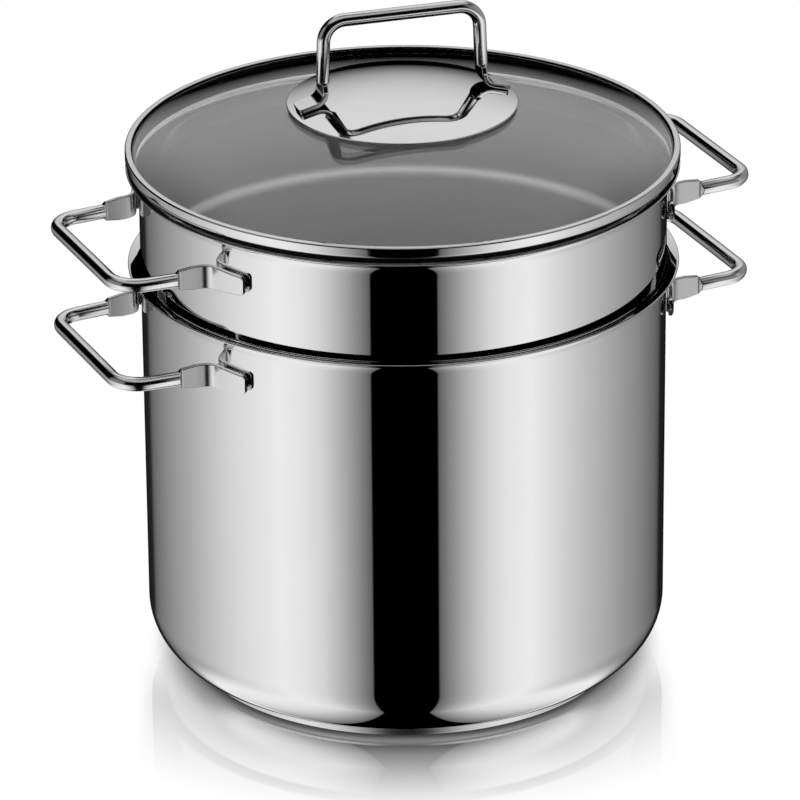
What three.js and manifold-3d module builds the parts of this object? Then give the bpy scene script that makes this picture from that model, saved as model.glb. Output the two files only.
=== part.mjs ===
// Pasta pot with a lift-out strainer and a glass lid.
// Millimetres, +Z up. The origin lies on the pot's axis, at the underside of its base.
import * as THREE from 'three';
import { mergeGeometries, mergeVertices } from 'three/addons/utils/BufferGeometryUtils.js';
import Module from 'manifold-3d';

const wasm = await Module();
wasm.setup();

// Fits shared by all pieces.
const seatGap = 0.3; // between a piece and the seat that carries it
const roundSides = 40; // flats round the pot, the strainer and the lid

// Pot and strainer are drawn from one sheet and share the lip.
const potInnerRadius = 120;
const sheet = 1;
const potHeight = 195.8; // floor to the top of the pouring lip
const cornerRadius = 25; // outside, between the wall and the bottom
const lipBend = 4.4; // inner radius of the bend into the lip
const lipTurn = 70; // degrees from the wall to the lip's slope
const lipRun = 3.9; // straight part of the lip

// Capsule base: an aluminium disc inside a steel cap.
const baseHeight = 3;
const baseRadius = 102;
const capSheet = 0.8;

// Strainer.
const strainerRise = 47.8; // from the pot's lip up to the strainer's lip
const strainerClearance = 2.5; // round the strainer's lower wall, inside the pot
const strainerFloorGap = 30; // under the strainer, above the pot's floor
const strainerCornerRadius = 15;
const shoulderRadius = 5; // outer bend of the step that rests in the pot's lip
const holeDiameter = 5;
const firstRowDrop = 94.8; // from the strainer's lip down to the first row of holes
const rowPitch = 20;
const lastRowMargin = 8; // between the lowest row and the bottom corner
const ringPitch = 30; // between the rings of holes in the bottom
const holesInFirstRing = 6;
const holeSides = 6;

// Side handles: one bent rod each, flattened at both ends and welded on.
const handleAzimuth = -156.3; // degrees from +X to the left pair
const handleReach = 156.5; // from the pot's axis to the middle of the grip
const handleHalfSpan = 43; // from the middle of the handle to each arm, at the grip
const handleSplay = 3.6; // degrees that each arm opens towards the wall
const handleRod = 6.4;
const handleCorner = 13;
const handleBend = 4; // where an arm turns into its foot
const handleStrap = 2.2; // thickness of the flattened ends
const handleStrapHeight = 11;
const handleStrapLength = 14; // flattened part of an arm before the bend
const handleSwell = 8; // over which an arm turns from round to flat
const handleFootLength = 17; // along the wall
const handleFootTaper = 0.78; // height of a foot's end, as a part of the strap's
const handleDrop = 20.3; // from a lip down to the middle of the handles under it
const padSheet = 0.8; // weld pads between the feet and the wall
const padHeight = 7;
const padLength = 13;

// Lid: a glass dome held in a steel band.
const bandSheet = 0.6;
const bandFlange = 2.9; // over the glass
const bandRise = 2.5; // from the strainer's lip up to the band
const skirtReach = 2.2; // of the skirt past the strainer's inner wall, into the lip's bend
const glassThickness = 3;
const glassCrown = 24.5; // rise of the dome above its edge

// Lid grip: a bow welded on a domed plate, held by one screw from below.
const plateRadius = 52.8;
const plateSheet = 1;
const plateCrown = 8.5;
const bowAzimuth = -162.8; // degrees from +X to the bow's left leg
const bowHeight = 34.2; // from the top of the plate to the middle of the bar
const bowHalfSpan = 36.7;
const bowSplay = 2;
const bowRod = 6;
const bowCorner = 10;
const bowBend = 6;
const bowStrap = 2.4;
const bowStrapWidth = 12;
const bowStrapLength = 4;
const bowSwell = 3;
const bowFootLength = 8;
const bowFootTaper = 0.95;
const gasketInset = 2.5; // from the plate's edge to the upper gasket
const gasketWidth = 5;
const gasketGap = 0.2;
const bossRadius = 6;
const screwRadius = 2.5;
const screwGap = 0.3; // round the shank
const sleeveWall = 0.9; // gasket sleeve in the hole of the glass
const lowerGasketRadius = 9;
const lowerGasketThickness = 1.5;
const washerRadius = 10;
const washerThickness = 1;
const screwHeadRadius = 5;
const screwHeadHeight = 2.6;
const screwEndGap = 1; // from the end of the screw to the top of the boss

// Sizes that follow from those above.
const potOuterRadius = potInnerRadius + sheet;
const lipAngle = THREE.MathUtils.degToRad(lipTurn);
const lipSlope = new THREE.Vector2(Math.sin(lipAngle), Math.cos(lipAngle)).multiplyScalar(lipRun);
const lipCentre = potInnerRadius + lipBend; // distance of the bend's centre from the axis
const lipRise = lipBend * Math.sin(lipAngle) + lipSlope.y;
const lipRadius = lipCentre - (lipBend - sheet) * Math.cos(lipAngle) + lipSlope.x;
const strainerTop = potHeight + strainerRise;
const strainerOuterRadius = potInnerRadius - strainerClearance;
const strainerBottom = baseHeight + sheet + strainerFloorGap;

const finishes = {
  polishedSteel: { color: 0xc9cbcd, roughness: 0.06, metalness: 1 },
  brushedSteel: { color: 0xb9bbbd, roughness: 0.28, metalness: 1 },
  aluminium: { color: 0xaeb1b4, roughness: 0.4, metalness: 1 },
  clearGlass: { color: 0xe4ecea, roughness: 0.03, metalness: 0 },
  silicone: { color: 0x8d9091, roughness: 0.6, metalness: 0 },
};

const pastaPot = new THREE.Group();

function addPart(parent, name, geometry, finish) {
  const mesh = new THREE.Mesh(geometry, new THREE.MeshStandardMaterial(finishes[finish]));
  mesh.name = name;
  parent.add(mesh);
  return mesh;
}

function turnedGroup(parent, azimuth, height) {
  const group = new THREE.Group();
  group.rotation.z = THREE.MathUtils.degToRad(azimuth);
  group.position.z = height;
  parent.add(group);
  return group;
}

// Points of a profile are (radius, height). A profile runs from the axis out along the underside,
// up the outside and back along the inside.
const at = (radius, height) => new THREE.Vector2(radius, height);

function arc(radius, height, bend, startAngle, endAngle, steps) {
  const points = [];
  for (let step = 0; step <= steps; step += 1) {
    const angle = THREE.MathUtils.lerp(startAngle, endAngle, step / steps);
    points.push(at(radius + bend * Math.cos(angle), height + bend * Math.sin(angle)));
  }
  return points;
}

function turned(profile, sides = roundSides) {
  return new THREE.LatheGeometry(profile, sides).rotateX(Math.PI / 2);
}

function turnedRing(profile, sides = roundSides) {
  return turned([...profile, profile[0].clone()], sides);
}

// The dropped height of a dome of the given curvature, at a distance from its axis.
const domeDrop = (curvature, radius) => curvature - Math.sqrt(curvature ** 2 - radius ** 2);
const domeCurvature = (crown, radius) => (crown ** 2 + radius ** 2) / (2 * crown);

function domeLine(height, startRadius, endRadius, steps) {
  const points = [];
  for (let step = 0; step <= steps; step += 1) {
    const radius = THREE.MathUtils.lerp(startRadius, endRadius, step / steps);
    points.push(at(radius, height(radius)));
  }
  return points;
}

const quarterTurn = Math.PI / 2;
const cornerSteps = 5;
const lipSteps = 3;
const shoulderSteps = 3;

// The lip's outside rises to its edge, and its inside falls back to the wall.
function lipOutside(top) {
  const bend = arc(lipCentre, top - lipRise, lipBend - sheet, Math.PI, Math.PI - lipAngle, lipSteps);
  return [...bend, bend.at(-1).clone().add(lipSlope)];
}

function lipInside(top) {
  const bend = arc(lipCentre, top - lipRise, lipBend, Math.PI - lipAngle, Math.PI, lipSteps);
  return [bend[0].clone().add(lipSlope), ...bend];
}

function bottomOutside(outerRadius, bottom, corner) {
  return [at(0, bottom), ...arc(outerRadius - corner, bottom + corner, corner, -quarterTurn, 0, cornerSteps)];
}

function bottomInside(outerRadius, bottom, corner) {
  const centre = outerRadius - corner;
  return [
    ...arc(centre, bottom + corner, corner - sheet, 0, -quarterTurn, cornerSteps),
    at(0, bottom + sheet),
  ];
}

// Pot shell and its capsule base.
function potShell() {
  return turned([
    ...bottomOutside(potOuterRadius, baseHeight, cornerRadius),
    ...lipOutside(potHeight),
    ...lipInside(potHeight),
    ...bottomInside(potOuterRadius, baseHeight, cornerRadius),
  ]);
}

function shellUnderside(radius) {
  const pastFlat = Math.max(0, radius - (potOuterRadius - cornerRadius));
  return baseHeight + domeDrop(cornerRadius, pastFlat);
}

function baseCap() {
  const innerRadius = baseRadius - capSheet;
  const rimTop = shellUnderside(innerRadius) - seatGap;
  return turned([
    at(0, 0),
    at(baseRadius, 0),
    at(baseRadius, rimTop),
    at(innerRadius, rimTop),
    at(innerRadius, capSheet),
    at(0, capSheet),
  ]);
}

function baseCore() {
  const radius = baseRadius - capSheet - seatGap;
  return turned([at(0, capSheet), at(radius, capSheet), at(radius, baseHeight), at(0, baseHeight)]);
}

// Booleans.
function solidOf(geometry) {
  const plain = geometry.clone();
  plain.deleteAttribute('normal');
  plain.deleteAttribute('uv');
  const merged = mergeVertices(plain, 1e-4);
  return new wasm.Manifold(new wasm.Mesh({
    numProp: 3,
    vertProperties: new Float32Array(merged.attributes.position.array),
    triVerts: new Uint32Array(merged.index.array),
  }));
}

function geometryOf(solid) {
  const mesh = solid.getMesh();
  const geometry = new THREE.BufferGeometry();
  geometry.setAttribute('position', new THREE.BufferAttribute(mesh.vertProperties, 3));
  geometry.setIndex(new THREE.BufferAttribute(mesh.triVerts, 1));
  return geometry;
}

// Strainer shell: the upper wall is in line with the pot's wall, a shoulder steps in and rests in
// the pot's lip, and the lower wall and the bottom are perforated.
function strainerShoulder() {
  const innerBend = shoulderRadius - sheet;
  const step = potOuterRadius - strainerOuterRadius;
  const turn = Math.acos(1 - step / (shoulderRadius + innerBend));
  const upperCentre = potOuterRadius - shoulderRadius;
  const lowerCentre = strainerOuterRadius + innerBend;
  const across = lipCentre - upperCentre;
  const apart = shoulderRadius + lipBend + seatGap;
  const upperHeight = potHeight - lipRise + Math.sqrt(apart ** 2 - across ** 2);
  const lowerHeight = upperHeight - (shoulderRadius + innerBend) * Math.sin(turn);
  return {
    outside: [
      ...arc(lowerCentre, lowerHeight, innerBend, Math.PI, Math.PI - turn, shoulderSteps),
      ...arc(upperCentre, upperHeight, shoulderRadius, -turn, 0, shoulderSteps).slice(1),
    ],
    inside: [
      ...arc(upperCentre, upperHeight, innerBend, 0, -turn, shoulderSteps),
      ...arc(lowerCentre, lowerHeight, shoulderRadius, Math.PI - turn, Math.PI, shoulderSteps).slice(1),
    ],
  };
}

function holePunch() {
  return new THREE.CylinderGeometry(holeDiameter / 2, holeDiameter / 2, sheet * 4, holeSides);
}

// Each hole of a row lies in the middle of a flat, and every other row is shifted by one flat.
function wallPunches() {
  const flat = (2 * Math.PI) / roundSides;
  const wallMiddle = (strainerOuterRadius - sheet / 2) * Math.cos(flat / 2);
  const lowest = strainerBottom + strainerCornerRadius + lastRowMargin;
  const punches = [];
  let row = 0;
  for (let height = strainerTop - firstRowDrop; height > lowest; height -= rowPitch) {
    for (let hole = 0; hole < roundSides / 2; hole += 1) {
      const angle = flat * (2 * hole + (row % 2) + 0.5);
      punches.push(holePunch().rotateZ(quarterTurn).translate(wallMiddle, 0, height).rotateZ(angle));
    }
    row += 1;
  }
  return punches;
}

function bottomPunches() {
  const flatRadius = strainerOuterRadius - strainerCornerRadius;
  const middle = strainerBottom + sheet / 2;
  const punches = [holePunch().rotateX(quarterTurn).translate(0, 0, middle)];
  for (let ring = 1; ring * ringPitch + holeDiameter < flatRadius; ring += 1) {
    const holes = ring * holesInFirstRing;
    for (let hole = 0; hole < holes; hole += 1) {
      const angle = (2 * Math.PI * hole) / holes;
      punches.push(holePunch().rotateX(quarterTurn).translate(ring * ringPitch, 0, middle).rotateZ(angle));
    }
  }
  return punches;
}

function strainerShell() {
  const shoulder = strainerShoulder();
  const drawn = turned([
    ...bottomOutside(strainerOuterRadius, strainerBottom, strainerCornerRadius),
    ...shoulder.outside,
    ...lipOutside(strainerTop),
    ...lipInside(strainerTop),
    ...shoulder.inside,
    ...bottomInside(strainerOuterRadius, strainerBottom, strainerCornerRadius),
  ]);
  const punches = mergeGeometries([...wallPunches(), ...bottomPunches()]);
  return geometryOf(solidOf(drawn).subtract(solidOf(punches)));
}

// A bail is a bar on two arms whose flattened feet lie along a round seat. Its plane holds the
// outward direction (x) and the sideways one (y). Stations run from one foot's end to the other's.
const bendSteps = 4;
const footSteps = 3;
const edgeChamfer = 0.29; // of a section's smaller side, which makes the rod eight-sided

function bailStations(bail) {
  const splay = THREE.MathUtils.degToRad(bail.splay);
  const inward = at(-Math.cos(splay), Math.sin(splay));
  const aside = at(Math.sin(splay), Math.cos(splay));
  const barEnd = at(bail.reach, bail.halfSpan);
  // The bend touches the arm's line and the seat line of the foot.
  const bendReach = bail.footRadius + bail.bend;
  const offset = barEnd.clone().addScaledVector(aside, bail.bend);
  const along = offset.dot(inward);
  const armLength = -along - Math.sqrt(along ** 2 - offset.lengthSq() + bendReach ** 2);
  const bendCentre = offset.clone().addScaledVector(inward, armLength);
  const footStart = Math.atan2(bendCentre.y, bendCentre.x);
  const footEnd = footStart + bail.footLength / bail.footRadius;
  const rod = { thick: bail.rod, wide: bail.rod };
  const strap = { thick: bail.strap, wide: bail.strapWidth };
  const stations = [];
  const add = (point, heading, size) => stations.push({ point, heading, ...size });

  for (let step = 0; step <= footSteps; step += 1) {
    const angle = THREE.MathUtils.lerp(footEnd, footStart, step / footSteps);
    const point = at(bail.footRadius * Math.cos(angle), bail.footRadius * Math.sin(angle));
    const wide = bail.strapWidth * THREE.MathUtils.lerp(bail.footTaper, 1, step / footSteps);
    add(point, angle - quarterTurn, { ...strap, wide });
  }
  const bendStart = footStart + Math.PI;
  const bendEnd = 1.5 * Math.PI - splay;
  for (let step = 1; step <= bendSteps; step += 1) {
    const angle = THREE.MathUtils.lerp(bendStart, bendEnd, step / bendSteps);
    const point = bendCentre.clone().add(at(bail.bend * Math.cos(angle), bail.bend * Math.sin(angle)));
    add(point, angle + quarterTurn, strap);
  }
  const outHeading = -splay;
  const armPoint = (length) => barEnd.clone().addScaledVector(inward, length);
  const rodStart = armLength - bail.strapLength;
  add(armPoint(rodStart + bail.swell), outHeading, strap);
  add(armPoint(rodStart), outHeading, rod);
  // The corner touches the arm and the bar.
  const cornerTurn = quarterTurn - splay;
  const cornerCut = bail.corner * Math.tan(cornerTurn / 2);
  const cornerCentre = armPoint(cornerCut).addScaledVector(aside, -bail.corner);
  for (let step = 0; step <= bendSteps; step += 1) {
    const angle = quarterTurn - splay - (cornerTurn * step) / bendSteps;
    const point = cornerCentre.clone().add(at(bail.corner * Math.cos(angle), bail.corner * Math.sin(angle)));
    add(point, angle - quarterTurn, rod);
  }
  const mirrored = stations.toReversed().map((station) => ({
    ...station,
    point: at(station.point.x, -station.point.y),
    heading: Math.PI - station.heading,
  }));
  return { stations: [...stations, ...mirrored], footStart, footEnd };
}

// One section of a bail: a rectangle with chamfered edges, across the heading.
function bailSection({ point, heading, thick, wide }) {
  const chamfer = edgeChamfer * Math.min(thick, wide);
  const x = thick / 2;
  const y = wide / 2;
  const outline = [
    [x, y - chamfer], [x - chamfer, y], [chamfer - x, y], [-x, y - chamfer],
    [-x, chamfer - y], [chamfer - x, -y], [x - chamfer, -y], [x, chamfer - y],
  ];
  const across = at(-Math.sin(heading), Math.cos(heading));
  return outline.map(([side, up]) => {
    const place = point.clone().addScaledVector(across, side);
    return new THREE.Vector3(place.x, place.y, up);
  });
}

function loft(sections) {
  const count = sections[0].length;
  const positions = sections.flat().flatMap((point) => point.toArray());
  const index = [];
  for (let section = 0; section < sections.length - 1; section += 1) {
    for (let corner = 0; corner < count; corner += 1) {
      const a = section * count + corner;
      const b = section * count + ((corner + 1) % count);
      index.push(a, b, a + count, b, b + count, a + count);
    }
  }
  const last = (sections.length - 1) * count;
  for (let corner = 1; corner < count - 1; corner += 1) {
    index.push(0, corner + 1, corner);
    index.push(last, last + corner, last + corner + 1);
  }
  const geometry = new THREE.BufferGeometry();
  geometry.setAttribute('position', new THREE.Float32BufferAttribute(positions, 3));
  geometry.setIndex(index);
  return geometry;
}

// Side handles with their weld pads.
const padInnerRadius = potOuterRadius + seatGap;
const padOuterRadius = padInnerRadius + padSheet;
const handleFootRadius = padOuterRadius + seatGap + handleStrap / 2;
const sideHandle = bailStations({
  reach: handleReach,
  halfSpan: handleHalfSpan,
  splay: handleSplay,
  rod: handleRod,
  corner: handleCorner,
  bend: handleBend,
  strap: handleStrap,
  strapWidth: handleStrapHeight,
  strapLength: handleStrapLength,
  swell: handleSwell,
  footLength: handleFootLength,
  footTaper: handleFootTaper,
  footRadius: handleFootRadius,
});

const padSteps = 3;

function weldPad(side) {
  const middle = (side * (sideHandle.footStart + sideHandle.footEnd)) / 2;
  const half = padLength / 2 / handleFootRadius;
  const outline = new THREE.Shape();
  outline.absarc(0, 0, padOuterRadius, middle - half, middle + half, false);
  outline.absarc(0, 0, padInnerRadius, middle + half, middle - half, true);
  const pad = new THREE.ExtrudeGeometry(outline, {
    depth: padHeight,
    bevelEnabled: false,
    curveSegments: padSteps,
  });
  return pad.translate(0, 0, -padHeight / 2);
}

// The side of a handle that lies ahead of its azimuth is the front one on the left, and the back
// one on the right.
const handleSides = [
  { name: 'left', turn: 0, ahead: 'front', behind: 'back' },
  { name: 'right', turn: 180, ahead: 'back', behind: 'front' },
];

function addHandles(owner, height) {
  for (const { name, turn, ahead, behind } of handleSides) {
    const group = turnedGroup(pastaPot, handleAzimuth + turn, height);
    const sections = sideHandle.stations.map(bailSection);
    addPart(group, `${owner}_handle_${name}`, loft(sections), 'polishedSteel');
    addPart(group, `${owner}_${name}_${ahead}_weld_pad`, weldPad(1), 'brushedSteel');
    addPart(group, `${owner}_${name}_${behind}_weld_pad`, weldPad(-1), 'brushedSteel');
  }
}

// Lid band: a flange over the glass, one under it, and a skirt that rests in the strainer's lip.
const bandBottom = strainerTop + bandRise;
const glassRadius = lipRadius - bandSheet - seatGap;
const flangeInnerRadius = lipRadius - bandFlange;
const glassCurvature = domeCurvature(glassCrown, glassRadius);
const glassApex = bandBottom + bandSheet + seatGap + glassThickness + glassCrown;
const glassTop = (radius) => glassApex - domeDrop(glassCurvature, radius);
const glassUnderside = (radius) => glassTop(radius) - glassThickness;
const bandTop = glassTop(flangeInnerRadius) + seatGap + bandSheet;
const glassSteps = 7;

function lidBand() {
  const skirtRadius = potInnerRadius + skirtReach;
  const across = lipCentre - skirtRadius;
  const skirtBottom = strainerTop - lipRise + Math.sqrt((lipBend + seatGap) ** 2 - across ** 2);
  return turnedRing([
    at(skirtRadius - bandSheet, skirtBottom),
    at(skirtRadius, skirtBottom),
    at(skirtRadius, bandBottom),
    at(lipRadius - bandSheet, bandBottom),
    at(lipRadius, bandBottom + bandSheet),
    at(lipRadius, bandTop - bandSheet),
    at(lipRadius - bandSheet, bandTop),
    at(flangeInnerRadius, bandTop),
    at(flangeInnerRadius, bandTop - bandSheet),
    at(lipRadius - bandSheet, bandTop - bandSheet),
    at(lipRadius - bandSheet, bandBottom + bandSheet),
    at(skirtRadius - bandSheet, bandBottom + bandSheet),
  ]);
}

const sleeveRadius = screwRadius + screwGap + sleeveWall;
const glassHoleRadius = sleeveRadius + seatGap;

function lidGlass() {
  return turnedRing([
    ...domeLine(glassUnderside, glassHoleRadius, glassRadius, glassSteps),
    ...domeLine(glassTop, glassRadius, glassHoleRadius, glassSteps),
  ]);
}

// Lid plate and what clamps it to the glass.
const plateCurvature = domeCurvature(plateCrown, plateRadius);
const plateApex = glassTop(plateRadius) + seatGap + plateSheet + plateCrown;
const plateTop = (radius) => plateApex - domeDrop(plateCurvature, radius);
const plateUnderside = (radius) => plateTop(radius) - plateSheet;
const plateSteps = 5;

function lidPlate() {
  return turned([
    ...domeLine(plateUnderside, 0, plateRadius, plateSteps),
    ...domeLine(plateTop, plateRadius, 0, plateSteps),
  ]);
}

function upperGasket() {
  const outer = plateRadius - gasketInset;
  const inner = outer - gasketWidth;
  return turnedRing([
    ...domeLine((radius) => glassTop(radius) + gasketGap, inner, outer, 1),
    ...domeLine((radius) => plateUnderside(radius) - gasketGap, outer, inner, 1),
  ]);
}

const smallSides = 24;
const bossTop = plateUnderside(bossRadius) - seatGap;
const boreRadius = screwRadius + screwGap;
const lowerGasketTop = glassUnderside(lowerGasketRadius) - seatGap;
const washerTop = lowerGasketTop - lowerGasketThickness;
const screwHeadTop = washerTop - washerThickness;

function lidBoss() {
  const bottom = glassTop(glassHoleRadius) + seatGap;
  return turnedRing(
    [at(boreRadius, bottom), at(bossRadius, bottom), at(bossRadius, bossTop), at(boreRadius, bossTop)],
    smallSides,
  );
}

function lowerGasket() {
  const sleeveTop = glassTop(glassHoleRadius);
  return turnedRing(
    [
      at(boreRadius, washerTop),
      at(lowerGasketRadius, washerTop),
      at(lowerGasketRadius, lowerGasketTop),
      at(sleeveRadius, lowerGasketTop),
      at(sleeveRadius, sleeveTop),
      at(boreRadius, sleeveTop),
    ],
    smallSides,
  );
}

function lidWasher() {
  return turnedRing(
    [
      at(boreRadius, screwHeadTop),
      at(washerRadius, screwHeadTop),
      at(washerRadius, washerTop),
      at(boreRadius, washerTop),
    ],
    smallSides,
  );
}

function lidScrew() {
  const headBottom = screwHeadTop - screwHeadHeight;
  const headRim = headBottom + screwHeadHeight / 2;
  const shankTop = bossTop - screwEndGap;
  return turned(
    [
      at(0, headBottom),
      at(screwHeadRadius - screwHeadHeight / 2, headBottom),
      at(screwHeadRadius, headRim),
      at(screwHeadRadius, screwHeadTop),
      at(screwRadius, screwHeadTop),
      at(screwRadius, shankTop),
      at(0, shankTop),
    ],
    smallSides,
  );
}

// The bow stands on the plate: its outward direction is up, measured from the centre of the dome.
const domeCentre = plateApex - plateCurvature;
const lidBow = bailStations({
  reach: plateCurvature + bowHeight,
  halfSpan: bowHalfSpan,
  splay: bowSplay,
  rod: bowRod,
  corner: bowCorner,
  bend: bowBend,
  strap: bowStrap,
  strapWidth: bowStrapWidth,
  strapLength: bowStrapLength,
  swell: bowSwell,
  footLength: bowFootLength,
  footTaper: bowFootTaper,
  footRadius: plateCurvature + seatGap + bowStrap / 2,
});

function addBow() {
  const group = turnedGroup(pastaPot, bowAzimuth, domeCentre);
  const bow = addPart(group, 'lid_bow', loft(lidBow.stations.map(bailSection)), 'polishedSteel');
  const up = new THREE.Vector3(0, 0, 1);
  const along = new THREE.Vector3(1, 0, 0);
  const across = new THREE.Vector3(0, 1, 0);
  bow.quaternion.setFromRotationMatrix(new THREE.Matrix4().makeBasis(up, along, across));
}

addPart(pastaPot, 'pot_shell', potShell(), 'polishedSteel');
addPart(pastaPot, 'base_core', baseCore(), 'aluminium');
addPart(pastaPot, 'base_cap', baseCap(), 'brushedSteel');
addHandles('pot', potHeight - handleDrop);

addPart(pastaPot, 'strainer_shell', strainerShell(), 'polishedSteel');
addHandles('strainer', strainerTop - handleDrop);

addPart(pastaPot, 'lid_glass', lidGlass(), 'clearGlass');
addPart(pastaPot, 'lid_rim_band', lidBand(), 'polishedSteel');
addPart(pastaPot, 'lid_plate', lidPlate(), 'polishedSteel');
addPart(pastaPot, 'lid_upper_gasket', upperGasket(), 'silicone');
addPart(pastaPot, 'lid_boss', lidBoss(), 'brushedSteel');
addPart(pastaPot, 'lid_lower_gasket', lowerGasket(), 'silicone');
addPart(pastaPot, 'lid_washer', lidWasher(), 'brushedSteel');
addPart(pastaPot, 'lid_screw', lidScrew(), 'brushedSteel');
addBow();

export default pastaPot;
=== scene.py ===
import math

import bmesh
import bpy
from mathutils import Matrix, Vector


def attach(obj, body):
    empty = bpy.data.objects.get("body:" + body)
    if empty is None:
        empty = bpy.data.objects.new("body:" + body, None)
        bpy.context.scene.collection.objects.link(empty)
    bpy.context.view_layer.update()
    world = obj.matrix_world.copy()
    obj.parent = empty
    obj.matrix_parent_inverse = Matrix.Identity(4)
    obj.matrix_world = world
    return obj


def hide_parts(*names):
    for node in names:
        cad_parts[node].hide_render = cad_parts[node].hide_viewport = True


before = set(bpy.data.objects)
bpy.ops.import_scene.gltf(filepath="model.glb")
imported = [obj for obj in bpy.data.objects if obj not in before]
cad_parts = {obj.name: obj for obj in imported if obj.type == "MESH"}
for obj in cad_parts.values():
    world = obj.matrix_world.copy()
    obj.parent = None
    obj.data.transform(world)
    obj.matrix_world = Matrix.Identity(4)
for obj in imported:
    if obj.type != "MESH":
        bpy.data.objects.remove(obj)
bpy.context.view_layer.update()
scene = bpy.context.scene
mm = 0.001
print("frame loaded:", len(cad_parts), "nodes")


# Node trees, for finishes and shapes alike: a wire is a socket that can be reckoned with.
class Wire:
    def __init__(self, nodes, socket):
        self.nodes = nodes
        self.socket = socket

    def __add__(self, other):
        return self.nodes.maths("ADD", self, other)

    def __radd__(self, other):
        return self.nodes.maths("ADD", other, self)

    def __sub__(self, other):
        return self.nodes.maths("SUBTRACT", self, other)

    def __rsub__(self, other):
        return self.nodes.maths("SUBTRACT", other, self)

    def __mul__(self, other):
        return self.nodes.maths("MULTIPLY", self, other)

    def __rmul__(self, other):
        return self.nodes.maths("MULTIPLY", other, self)

    def __truediv__(self, other):
        return self.nodes.maths("DIVIDE", self, other)

    def __rtruediv__(self, other):
        return self.nodes.maths("DIVIDE", other, self)

    def __mod__(self, other):
        return self.nodes.maths("FLOORED_MODULO", self, other)

    def __gt__(self, other):
        return self.nodes.maths("GREATER_THAN", self, other)

    def __lt__(self, other):
        return self.nodes.maths("LESS_THAN", self, other)

    def __abs__(self):
        return self.nodes.maths("ABSOLUTE", self)

    def sin(self):
        return self.nodes.maths("SINE", self)

    def cos(self):
        return self.nodes.maths("COSINE", self)

    def floor(self):
        return self.nodes.maths("FLOOR", self)

    def root(self):
        return self.nodes.maths("SQRT", self)

    def arcsin(self):
        return self.nodes.maths("ARCSINE", self)

    def arctan2(self, other):
        return self.nodes.maths("ARCTAN2", self, other)

    def atMost(self, other):
        return self.nodes.maths("MINIMUM", self, other)

    def atLeast(self, other):
        return self.nodes.maths("MAXIMUM", self, other)

    def smooth(self, low, high):  # 0 below low, 1 above high
        sockets = {"Value": self, "From Min": low, "From Max": high}
        return self.nodes.add("ShaderNodeMapRange", {"interpolation_type": "SMOOTHSTEP"}, sockets)


class Nodes:
    def __init__(self, tree):
        self.tree = tree

    # settings are set before the sockets; stops are those of a colour ramp
    def add(self, kind, settings=None, sockets=None, out=0):
        node = self.tree.nodes.new(kind)
        for key, value in (settings or {}).items():
            if key == "stops":
                self.setStops(node.color_ramp, value)
            else:
                setattr(node, key, value)
        for key, value in (sockets or {}).items():
            if isinstance(value, Wire):
                self.tree.links.new(value.socket, node.inputs[key])
            elif value is not None:
                node.inputs[key].default_value = value
        return Wire(self, node.outputs[out] if node.outputs else None)

    def maths(self, operation, *values):
        return self.add("ShaderNodeMath", {"operation": operation}, dict(enumerate(values)))

    def setStops(self, ramp, stops):
        while len(ramp.elements) > 1:
            ramp.elements.remove(ramp.elements[0])
        for index, (position, level) in enumerate(stops):
            element = ramp.elements[0] if index == 0 else ramp.elements.new(position)
            element.position = position
            element.color = (level, level, level, 1)

    def split(self, vector):
        parts = self.add("ShaderNodeSeparateXYZ", sockets={0: vector})
        return [Wire(self, socket) for socket in parts.socket.node.outputs]

    def join(self, x, y, z):
        return self.add("ShaderNodeCombineXYZ", sockets={0: x, 1: y, 2: z})

    def mixColour(self, factor, a, b):
        return self.add("ShaderNodeMix", {"data_type": "RGBA"}, {0: factor, 6: a, 7: b}, out=2)


def newFinish(name):
    material = bpy.data.materials.new(name)
    material.use_nodes = True
    material.node_tree.nodes.clear()
    return material, Nodes(material.node_tree)


def endFinish(material, nodes, sockets):
    shader = nodes.add("ShaderNodeBsdfPrincipled", sockets=sockets)
    nodes.add("ShaderNodeOutputMaterial", sockets={"Surface": shader})
    return material


def cloudNoise(nodes, scale, detail):
    spot = nodes.add("ShaderNodeTexCoord", out="Object")
    return nodes.add("ShaderNodeTexNoise", sockets={"Vector": spot, "Scale": scale, "Detail": detail})


def grey(level, blue=0.0):
    return (level, level, level + blue, 1)


# Finishes. Steel is the same everywhere; what differs is how far it was polished. "inside" is the
# colour and roughness where the satin-and-shade attribute is 1; on the lid band it is painted shade.
steelLooks = {
    "wallSteel": {"colour": 0.80, "roughness": 0.030, "spread": 0.02, "inside": (0.80, 0.55)},
    "rodSteel": {"colour": 0.79, "roughness": 0.13, "spread": 0.04, "inside": (0.48, 0.28)},
    # painted shade: the lid band's inside and underside are near black (0.06), as in the dark gap round
    # them
    "bandSteel": {"colour": 0.79, "roughness": 0.060, "spread": 0.03, "inside": (0.06, 0.45)},
    "plateSteel": {"colour": 0.80, "roughness": 0.050, "spread": 0.02},
    "baseSteel": {"colour": 0.72, "roughness": 0.220, "spread": 0.06},
    "padSteel": {"colour": 0.70, "roughness": 0.260, "spread": 0.08},
    "fastenerSteel": {"colour": 0.74, "roughness": 0.180, "spread": 0.06},
    "coreAluminium": {"colour": 0.68, "roughness": 0.380, "spread": 0.10},
}
steelGrain = {"cloud": 35.0, "grain": 900.0, "cloudShare": 0.6, "tint": 0.015, "blue": 0.006}
glassLook = {"cloud": 20.0, "colours": [(0.955, 0.965, 0.96, 1), (0.97, 0.975, 0.972, 1)], "index": 1.5}
siliconeLook = {
    "cloud": 60.0, "colours": [grey(0.26), grey(0.31, 0.005)], "roughness": 0.42, "spread": 0.16}


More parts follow.
